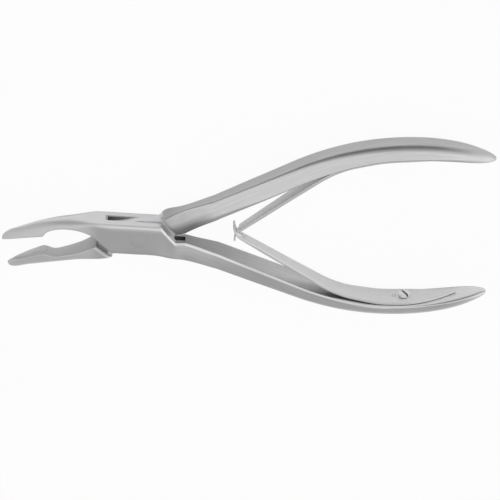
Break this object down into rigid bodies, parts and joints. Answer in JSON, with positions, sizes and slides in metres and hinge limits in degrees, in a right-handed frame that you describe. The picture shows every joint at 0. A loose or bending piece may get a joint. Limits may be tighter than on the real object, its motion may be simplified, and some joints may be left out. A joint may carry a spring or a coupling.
{
  "type": "bone rongeur",
  "caption": "Single-action bone rongeur with a box joint, slightly curved cupped jaws, a riveted pivot and interlocking double leaf springs.",
  "frame": {"origin": "where the pivot axis leaves the lower side of the box, in the plane of that side", "axes": "+X from the jaws to the handles along the tool's axis, +Y across the handles towards the box half's jaw, +Z along the pivot pin"},
  "size_m": [0.1492, 0.0588, 0.011],
  "materials": {
    "forged_steel": "satin",
    "pin_steel": "satin",
    "spring_steel": "satin",
    "screw_steel": "bright"
  },
  "bodies": {
    "box_half": {"box_half": "forged_steel", "pivot_pin": "pin_steel", "lower_spring_screw": "screw_steel", "lower_locating_pin": "screw_steel"},
    "tenon_half": {"tenon_half": "forged_steel", "upper_spring_screw": "screw_steel", "upper_locating_pin": "screw_steel"},
    "lower_leaf": {"lower_spring": "spring_steel"},
    "upper_leaf": {"upper_spring": "spring_steel"}
  },
  "joints": [
    {"name": "handle_squeeze", "type": "hinge", "parent": "box_half", "child": "tenon_half", "pos_m": [0, 0, 0.0045], "axis": [0, 0, 1], "range_deg": [-11, 0], "stiffness_Nm_per_rad": 4},
    {"name": "lower_leaf_bend", "type": "hinge", "parent": "box_half", "child": "lower_leaf", "pos_m": [0.0605, -0.0213, 0.0045], "axis": [0, 0, 1], "range_deg": [0, 5.2], "deforming": ["lower_spring"]},
    {"name": "upper_leaf_bend", "type": "hinge", "parent": "tenon_half", "child": "upper_leaf", "pos_m": [0.0605, 0.0213, 0.0045], "axis": [0, 0, 1], "range_deg": [-5.2, 0], "deforming": ["upper_spring"]}
  ],
  "couplings": [
    {"joint": "lower_leaf_bend", "follows": "handle_squeeze", "ratio": -0.452},
    {"joint": "upper_leaf_bend", "follows": "handle_squeeze", "ratio": 0.452}
  ]
}
